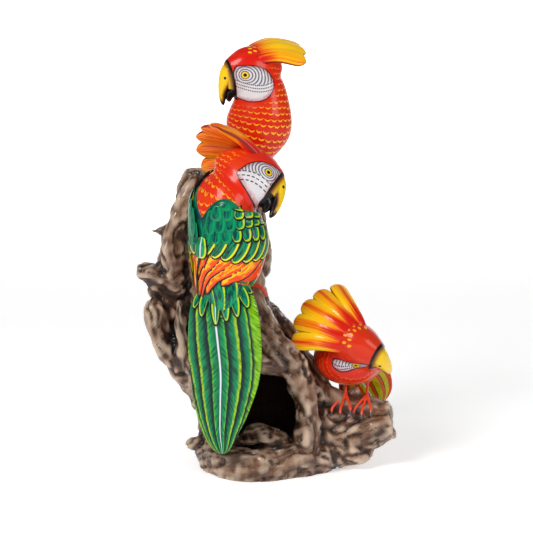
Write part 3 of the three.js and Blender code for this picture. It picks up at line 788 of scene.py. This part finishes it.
for name, bird in BIRDS.items():
    marks = {"turn": lambda t, angle: np.stack([np.sin(angle), t, t], 1)}
    beak = placed(head_ball(bird, BEAK, 40, 36, marks), f"beak_{name}")
    local = in_head(bird, corners(beak.data))
    turn = vectors(beak.data.attributes["turn"].data, "vector")
    lower = np.clip((-local[:, 2] - 5) / 15, 0, 1)
    edge = np.minimum(8 * (turn[:, 0] + 0.75 - 0.6 * lower), 0.8 * (local[:, 2] + 33))
    note(beak.data, "near", np.minimum(before_bill(local), edge) / 10)
    note(beak.data, "lies", np.stack([local[:, 0], np.abs(local[:, 1]), local[:, 2]], 1))
    finished(beak, beak_paint, f"parrot_{name}", bird["slot"])
    jaw = placed(head_ball(bird, JAW, 24, 20), f"jaw_{name}")
    finished(jaw, tucked_paint if name == "lower" else jaw_paint, f"parrot_{name}", bird["slot"])

# Crests
# Five carved lobes fan out from the brow over the back of each head. They are red at the root and along
# the middle, streaked by brush, and orange to yellow at their edges and round tips.
LOBES = 5
ROOT = 34
REACH = 101
# How yellow a lobe is: all over, more on one side and more at both edges, for one lobe and the others.
TONES = {
    "top": {2: (0.1, -0.12, 0), None: (0.34, 0, -0.1)},
    "middle": {-2: (0.12, 0.34, 0), None: (-0.12, 0.1, 0.1)},
    "lower": {None: (-0.16, 0.05, 0.6)},
}


def crest_lobe(bird, place, tones):
    turn, tilt = np.radians(place * LOBE_TURN + bird["lean"]), np.radians(place * 20)

    def station(share, lift, w, d):
        distance = ROOT + (REACH - place**2 - ROOT) * share
        return HUB - distance * np.cos(turn), distance * np.sin(turn), 38 - 2.4 * place**2 + lift, w, d

    stations = [station(-0.12, -8, 0, 0), station(0.1, -1, 7.9, 6), station(0.45, 5, 10, 6),
                station(0.84, 3, 10.5, 4.5), station(1, 0, 0, 0)]
    even, sided, edges = tones.get(place, tones[None])

    def lobe_marks(t, angle):
        tone = even + sided * np.cos(angle) + edges * np.abs(np.cos(angle))
        return np.stack([np.cos(angle), t, tone], 1)

    marks = {"vane": lobe_marks, "seed": lambda t, angle: np.full((len(t), 3), place)}
    return head_ball(bird, stations, 32, 36, marks, (0, np.cos(tilt), -np.sin(tilt)))


crest_paint, shader = surface("red, orange and yellow lacquer streaked by brush")
vane = kept(crest_paint, "vane")
across, along, tone = axes(crest_paint, vane)
seed = kept(crest_paint, "seed")
stretched = add(crest_paint, "VectorMath", {0: vane, 1: (7, 1.4, 0), 2: seed}, operation="MULTIPLY_ADD")
hairs = add(crest_paint, "TexNoise", {"Vector": stretched, "Scale": 1.3, "Detail": 4})
side = calc(crest_paint, "ABSOLUTE", across)
grown = span(crest_paint, along, 0.15, 0.5)
outwards = calc(crest_paint, "MULTIPLY_ADD", grown, 0.6, tone)
mixed = calc(crest_paint, "MULTIPLY_ADD", hairs, 0.9, outwards)
flame = add(crest_paint, "ValToRGB", {"Fac": calc(crest_paint, "MULTIPLY", mixed, 0.6)},
            stops=[(0.42, "#d01a0c"), (0.5, "#e0400f"), (0.58, "#f07a12"), (0.66, "#f9ae14"),
                   (0.8, "#fcc816")])
# A dark red line along each lobe's sides: painted shade for the gaps between the lobes.
edge = span(crest_paint, side, 0.92, 0.97, 0, 0.9)
edged = mix(crest_paint, edge, flame, "#7c1208")
tie(crest_paint, edged, shader.inputs["Base Color"])
lacquered(shader, 0.28, 0.1)

for name, bird in BIRDS.items():
    lobes = [crest_lobe(bird, i - (LOBES - 1) / 2, TONES[name]) for i in range(LOBES)]
    finished(placed(gathered(lobes), f"crest_{name}"), crest_paint, f"parrot_{name}", bird["slot"])

# Wings
# Folded wings carved on the back: a thin plate from the spine round the flank, and on it rows of short
# coverts over long curved secondaries and the primaries, which run in to a point over the tail.
def outline(s, pointed):
    """How full a feather is at shares s of its length: narrow at the root, its tip round or pointed."""
    root = np.sqrt(np.clip(s / 0.06, 0, 1))
    if pointed:
        return root * np.sqrt(np.clip(1 - s**2.4, 0, 1))
    swelling = (0.6 + 0.4 * np.sin(np.pi / 2 * np.clip(s / 0.6, 0, 1))) * root
    return np.where(s < 0.62, swelling, np.sqrt(np.clip(1 - ((s - 0.62) / 0.38) ** 2, 0, 1)))


def feather(stations, side, root, tip, wide, lift, kind, facing_side=1, pointed=False):
    """A carved feather on a form, from root to tip, each the angle round it and the share along it."""
    root, tip = np.array(root, float), np.array(tip, float)
    ends = form(stations, side, np.array([root[1], tip[1]]), np.array([root[0], tip[0]]))
    length = np.linalg.norm(ends[1] - ends[0])

    def shape(s, around):
        turn, t = (root + (tip - root) * s[:, None]).T
        here = form(stations, side, t, turn)
        over = (form(stations, side, t, turn + 0.01) - here) / 0.01
        down = (form(stations, side, t + 0.002, turn) - here) / 0.002
        along = over * (tip - root)[0] + down * (tip - root)[1]
        across = unit(np.cross(np.cross(over, down), along)) * facing_side
        oo, od, dd = (over**2).sum(1), (over * down).sum(1), (down**2).sum(1)
        ao, ad = (across * over).sum(1), (across * down).sum(1)
        reach = wide * outline(s, pointed) * np.cos(around) / (oo * dd - od**2)
        rise = lift - (1 - s) ** 2 + 0.35 * outline(s, pointed) * np.sin(around)
        return form(stations, side, t + (oo * ad - od * ao) * reach, turn + (dd * ao - od * ad) * reach,
                    rise)

    def vane(s, around):
        rim = np.minimum(wide * outline(s, pointed) * (1 - np.abs(np.cos(around))), length * (1 - s))
        return np.stack([np.cos(around), s * length, rim], 1)

    seed = 7.3 * root[0] + 31 * root[1]
    marks = {"vane": vane, "kind": lambda s, around: np.tile((kind, seed, length), (len(s), 1))}
    return ball(20, 18, shape, marks)


def wing(bird, hand):
    """The plate and the feathers of one wing: hand is 1 on the bird's right and -1 on its left."""
    neck, edge, tip, curve, reach, seam, sweep = bird["wing"].values()
    body, right = bird["body"], bird["right"]
    stretch = edge - neck

    def turned(flank, t):
        """The angle round the body: the seam swings aside below the neck."""
        swung = seam + sweep * np.maximum(0, (t - neck) / (tip - neck)) ** 2
        return np.radians(90 + swung - hand * (-2 + reach * flank))

    def upper_edge(flank):
        return neck - 0.13 + 0.13 * (2 * flank - 1) ** 2

    def lower_edge(flank):
        return edge + (tip - edge) * np.maximum(0, 1 - flank) ** curve

    def laid(root, end, wide, lift, kind, pointed=False):
        """A feather from root to end, each a share of the flank and a share of the body's length."""
        return feather(body, right, (turned(*root), root[1]), (turned(*end), end[1]), wide, lift, kind, hand,
                       pointed)

    plate = bmesh.new()
    bmesh.ops.create_cube(plate, size=2)
    bmesh.ops.subdivide_edges(plate, edges=plate.edges, cuts=24, use_grid_fill=True)
    at = np.array([v.co for v in plate.verts])
    flank, down = (1 + hand * at[:, 0]) / 2, (1 - at[:, 1]) / 2
    rim = np.minimum(1, 6 * np.minimum(np.minimum(flank, 1 - flank), np.minimum(down, 1 - down)))
    lift = np.where(at[:, 2] > 0.99, 0.3 + 0.5 * rim, -3 + 1.6 * (at[:, 2] + 1))
    t = upper_edge(flank) + (lower_edge(flank) - upper_edge(flank)) * down
    for v, place in zip(plate.verts, form(body, right, t, turned(flank, t), lift)):
        v.co = place
    layers = [plate.verts.layers.float_vector.new(key) for key in ("vane", "kind")]
    for v, share, covered, kind in zip(plate.verts, flank, down, np.where(t > edge - 0.03, 3, 5)):
        v[layers[0]] = (0.3 + 0.5 * share, 60 * covered, 9)
        v[layers[1]] = (kind, hand, 60)
    bmesh.ops.recalc_face_normals(plate, faces=plate.faces)

    girth = max(row[3] for row in body) * reach / 122
    parts = [plate]
    primaries = ((0.08, 0, 0.55), (0.27, 0, 0.95), (0.46, 0.04, 0.99), (0.66, 0.22, 0.98), (0.86, 0.5, 0.97))
    for i, (flank, fold, end) in enumerate(primaries):
        low = edge + (lower_edge(fold) - edge) * end
        parts.append(laid((flank, neck + 0.7 * stretch), (fold, low), 0.2 * girth, 3.1 - 0.35 * i, 3, True))
    for i in range(7):
        flank = 0.16 + 0.8 * i / 6
        parts.append(laid((flank + 0.08, neck + 0.24 * stretch),
                          (flank - 0.08, neck + (1.0 - 0.04 * abs(i - 3)) * stretch),
                          0.17 * girth, 4.2 - 0.35 * i, 2))
    for share, count, lift in ((0.56, 7, 4.5), (0.3, 7, 4.8), (0.04, 6, 5.1), (-0.2, 5, 5.3)):
        for i in range(count):
            flank = 0.1 + 0.86 * (i + 0.5 * (count % 2) * (share < 0.5)) / count
            root = max(neck + (share - 0.5) * stretch, upper_edge(flank) + 0.02)
            end = neck + share * stretch
            if end > root + 0.04:
                parts.append(laid((flank + 0.03, root), (flank, end), 0.14 * girth, lift - 2.3 * flank,
                                  1 if flank > 0.42 else 5))
    if hand > 0:
        parts.append(laid((0.05, neck + 0.3 * stretch), (0.06, neck + 1.0 * stretch), 0.21 * girth, 5.4, 4))
        half = (edge + tip) / 2
        parts.append(laid((0.03, edge - 0.05), (0.03, half + 0.03), 2, 4.4, 6, True))
        parts.append(laid((0.03, half - 0.02), (0.03, tip), 2, 4.6, 6, True))
    return placed(gathered(parts), "wing")


def feather_paint(name, colours):
    """Lacquered feathers. Each of colours is a ground, a dark streak and an edging, for one kind."""
    paint, shader = surface(name)
    vane = kept(paint, "vane")
    across, _, rim = axes(paint, vane)
    kinds = kept(paint, "kind")
    kind, seed = axes(paint, kinds, 2)
    stretched = add(paint, "VectorMath", {0: vane, 1: (3.2, 0.08, 0)}, operation="MULTIPLY")
    apart = add(paint, "VectorMath", {0: stretched, 1: add(paint, "CombineXYZ", {2: seed})}, operation="ADD")
    hairs = add(paint, "TexNoise", {"Vector": apart, "Scale": 1.2, "Detail": 5, "Roughness": 0.6})
    leaning = calc(paint, "MULTIPLY_ADD", across, 0.13, hairs)
    streaked = span(paint, leaning, 0.58, 0.42)
    outer = calc(paint, "MULTIPLY_ADD", across, -1.5, rim)
    ragged = calc(paint, "MULTIPLY_ADD", hairs, 2.2, outer)
    crescent = span(paint, ragged, 4.6, 3.9)
    ground = "#04302c"
    for k, (base, streak, edging) in enumerate(colours):
        vaned = mix(paint, streaked, base, streak)
        lit = mix(paint, crescent, vaned, edging)
        this = calc(paint, "COMPARE", kind, k, 0.3)
        ground = mix(paint, this, ground, lit)
    centre = calc(paint, "ABSOLUTE", across)
    quill = span(paint, centre, 0.12, 0.06)
    spined = calc(paint, "MULTIPLY", quill, calc(paint, "COMPARE", kind, 4, 0.3))
    quilled = mix(paint, spined, ground, "#d8dce0")
    line = span(paint, rim, 2.1, 1.6)
    faint = calc(paint, "COMPARE", kind, 5, 0.3)
    weaker = span(paint, faint, 0, 1, 1, 0.3)
    drawn = calc(paint, "MULTIPLY", line, weaker)
    lined = mix(paint, drawn, quilled, "#04131c")
    tie(paint, lined, shader.inputs["Base Color"])
    lacquered(shader, 0.28, 0.1)
    return paint


GREEN = ("#049560", "#02413f", "#b4d01c")
wing_paint = feather_paint("green, yellow and red lacquer on carved feathers", [
    ("#047d54", "#023f3e", "#047d54"), GREEN, ("#048a58", "#02302f", "#e0dc14"),
    ("#ee4414", "#fdc312", "#ee4a10"),
    ("#089a5c", "#046a4c", "#c8dc14"), ("#04845a", "#023e40", "#049560"), ("#04131c", "#04131c", "#04131c"),
])
for name, bird in BIRDS.items():
    for hand, side in ((1, "right"), (-1, "left")):
        piece = wing(bird, hand)
        piece.name = f"wing_{side}_{name}"
        finished(piece, wing_paint, f"parrot_{name}", bird["slot"])

# Tails
# Each tail is one long leaf carved with the bird, with the short coverts of the rump over its root. It is
# painted in lanes on both sides of a white quill, with slanting barbs in between.
def tail_paint(name, lanes, barb):
    paint, shader = surface(name)
    lane = kept(paint, "lane")
    across, along = axes(paint, lane, 2)
    side = calc(paint, "ABSOLUTE", across)
    wave = add(paint, "TexNoise", {"Vector": lane, "Scale": 0.12, "Detail": 2})
    uneven = calc(paint, "MULTIPLY_ADD", calc(paint, "SUBTRACT", wave, 0.5), 0.06, side)
    banded = add(paint, "ValToRGB", {"Fac": uneven}, stops=lanes)
    slant = calc(paint, "MULTIPLY_ADD", side, -46, along)
    drawn = calc(paint, "MULTIPLY", side, 5)
    rough = add(paint, "TexNoise", {"Vector": add(paint, "CombineXYZ", {0: slant, 1: drawn}), "Scale": 0.75,
                                    "Detail": 4, "Roughness": 0.6})
    barbs = span(paint, rough, 0.46, 0.6, 0, 0.95)
    barbed = mix(paint, barbs, banded, barb, blend_type="MULTIPLY")
    quill = span(paint, side, 0.03, 0.02)
    quilled = mix(paint, quill, barbed, "#dfe2e4")
    tie(paint, quilled, shader.inputs["Base Color"])
    lacquered(shader, 0.28, 0.1)
    return paint


GREEN_LANES = [
    (0.0, "#023c3c"), (0.06, "#027a4e"), (0.18, "#02a05a"), (0.235, "#6cc826"), (0.25, "#01242a"),
    (0.32, "#012f32"), (0.4, "#027a4e"), (0.5, "#02a05a"), (0.565, "#c8dc12"), (0.59, "#8ccc1c"),
    (0.605, "#01242a"), (0.67, "#012f32"), (0.74, "#027a4e"), (0.83, "#02a05a"), (0.885, "#b8d816"),
    (0.9, "#01242a"), (0.94, "#024f44"), (0.99, "#8ccc1c"),
]
FIERY_LANES = [
    (0.0, "#b8bc14"), (0.12, "#b8bc14"), (0.16, "#c23a10"), (0.24, "#d8550f"), (0.28, "#123014"),
    (0.32, "#b8bc14"), (0.5, "#c8b814"), (0.54, "#c8400f"), (0.62, "#d8600f"), (0.66, "#123014"),
    (0.7, "#b8bc14"), (0.85, "#c8b814"), (0.89, "#c8400f"), (1.0, "#d8500f"),
]
TAIL_PAINTS = {
    "green": tail_paint("green tail lacquered in lanes and barbs", GREEN_LANES, "#205c58"),
    "fiery": tail_paint("yellow-green and red tail lacquered in lanes", FIERY_LANES, "#c8b090"),
}

# The short coverts over a tail's root, each the degrees round it and the share along it that its tip
# reaches, and the degrees round the body of the feathers that fringe its end.
RUMP_COVERTS = [
    (165, 0.13), (14, 0.13), (142, 0.19), (40, 0.19), (122, 0.225), (62, 0.225), (80, 0.24), (97, 0.255),
]
RUMP_FRINGE = (175, 145, 115, 90, 65, 35, 5, -20)
rump_paint = feather_paint("green lacquer edged with yellow on the rump", [
    ("#047d54", "#023f3e", "#047d54"), GREEN, GREEN, GREEN, ("#049560", "#046a4c", "#b4d01c")])
for name, bird in BIRDS.items():
    stations, right = bird["tail"], bird["tail_right"]
    lengths = lengths_along(np.array(stations)[:, :3])

    def leaf(t, angle):
        return form(stations, right, t, angle, 0.7 * np.cos(6 * angle) * fullness(t))

    def lanes_of(t, angle):
        start, end = bird["rachis"]
        run = np.interp(t * (len(lengths) - 1), np.arange(len(lengths)), lengths)
        return np.stack([np.cos(angle) - (start + (end - start) * t), run, np.zeros_like(t)], 1)

    finished(placed(ball(96, 72, leaf, {"lane": lanes_of}), f"tail_{name}"),
             TAIL_PAINTS["fiery" if name == "lower" else "green"], f"parrot_{name}", bird["slot"])
    wide = 0.15 * max(row[3] for row in stations)
    rump = []
    for turn, end in RUMP_COVERTS:
        root, tip = (np.radians(0.85 * (turn - 90) + 90), 0.02), (np.radians(turn), end)
        kind, facing_side = 4 if turn == 97 else 1, 1 if turn < 97 else -1
        rump.append(feather(stations, right, root, tip, wide, 1.2 + 1.2 * end / 0.25, kind, facing_side))
    wide = 0.2 * max(row[3] for row in bird["body"])
    for turn in RUMP_FRINGE:
        root, tip = (np.radians(turn), bird["wing"]["edge"] + 0.05), (np.radians(turn), 0.97)
        rump.append(feather(bird["body"], bird["right"], root, tip, wide, 0.9, 1))
    finished(placed(gathered(rump), f"rump_{name}"), rump_paint, f"parrot_{name}", bird["slot"])

# Legs
# Bent steel wire, painted orange-red: a shank, three toes in front and one behind, with bare points that
# are driven into the wood. The thighs above them are carved with the bodies.
WIRE = 1.7


def wire_leg(name, foot, knee, toward, toe, spread, grip):
    foot, knee = np.array(foot, float), np.array(knee, float)
    up, ahead = unit(knee - foot), unit(np.array(toward, float))
    across = unit(np.cross(ahead, up))

    def wire(start, bend, end):
        places = [start + unit(start - bend) * 2 * WIRE, start, bend, bend + 0.6 * (end - bend), end]
        sizes = [0, WIRE, WIRE, WIRE, 0]
        stations = [(*place, size, size) for place, size in zip(places, sizes)]
        return ball(16, 20, lambda t, angle: form(stations, across, t, angle))

    parts, points = [wire(knee + up * 6, knee, foot - up * 1.5 * WIRE)], []
    for turn in np.radians([-spread, 0, spread]):
        way = ahead * np.cos(turn) + across * np.sin(turn)
        bend = foot + way * toe - up
        points.append(bend + way * 4 - up * grip)
        parts.append(wire(foot, bend, points[-1]))
    heel = foot - ahead * 7 - up * 4
    points.append(heel - ahead * 4.9 - up * 7)
    parts.append(wire(foot, heel, points[-1]))
    piece = fused(gathered(parts), name, 0.55)
    at = averaged(piece.data, corners(piece.data), 2)
    put(piece.data, at)
    note(piece.data, "bare", np.linalg.norm(at[:, None] - np.array(points), axis=2).min(axis=1))
    return piece


wire_paint, shader = surface("steel wire painted orange-red, points bare")
bare = kept(wire_paint, "bare", "Fac")
rough = add(wire_paint, "TexNoise", {"Scale": 400.0, "Detail": 3})
worn_off = calc(wire_paint, "MULTIPLY_ADD", rough, 4, bare)
metal = span(wire_paint, worn_off, 9.5, 8.5)
coated = mix(wire_paint, metal, "#e0492a", "#5c5a58")
tie(wire_paint, coated, shader.inputs["Base Color"])
tie(wire_paint, metal, shader.inputs["Metallic"])
shader.inputs["Roughness"].default_value = 0.35
for name, leg in LEGS.items():
    finished(wire_leg(f"wire_{name}", *leg), wire_paint, name, "leg_paint")

# Floor and light
# A white board on the floor and another behind, both lit to pure white, with soft daylight from all
# round, one large lamp at the upper left and a weaker one at the right.
def board(name, size, place, turn, glow):
    mesh = bpy.data.meshes.new(name)
    bm = bmesh.new()
    bmesh.ops.create_grid(bm, x_segments=1, y_segments=1, size=size)
    bm.to_mesh(mesh)
    bm.free()
    holder = linked(name, mesh)
    holder.location = place
    holder.rotation_euler = turn
    white, shader = surface(f"{name} of matt white board")
    shader.inputs["Base Color"].default_value = linear("#fafafa")
    shader.inputs["Roughness"].default_value = 0.9
    shader.inputs["Emission Color"].default_value = (1, 1, 1, 1)
    shader.inputs["Emission Strength"].default_value = glow
    mesh.materials.append(white)


board("floor", 5, (0, 0, 0), (0, 0, 0), 0.43)
board("backdrop", 2.5, (0, 3.5, 0), (np.pi / 2, 0, 0), 1.0)

world = bpy.data.worlds.new("daylight")
bpy.context.scene.world = world
world.use_nodes = True
world.node_tree.nodes["Background"].inputs["Color"].default_value = (1, 1, 1, 1)
world.node_tree.nodes["Background"].inputs["Strength"].default_value = 0.22


def lamp(name, place, watts, size):
    light = bpy.data.lights.new(name, "AREA")
    light.energy = watts
    light.size = size
    holder = linked(name, light)
    holder.location = place
    holder.rotation_euler = (Vector((0, 0, 0.25)) - Vector(place)).to_track_quat("-Z", "Y").to_euler()


lamp("window", (-1.1, -1.5, 1.6), 31, 0.8)
lamp("fill", (1.4, -1.2, 0.9), 10, 0.8)
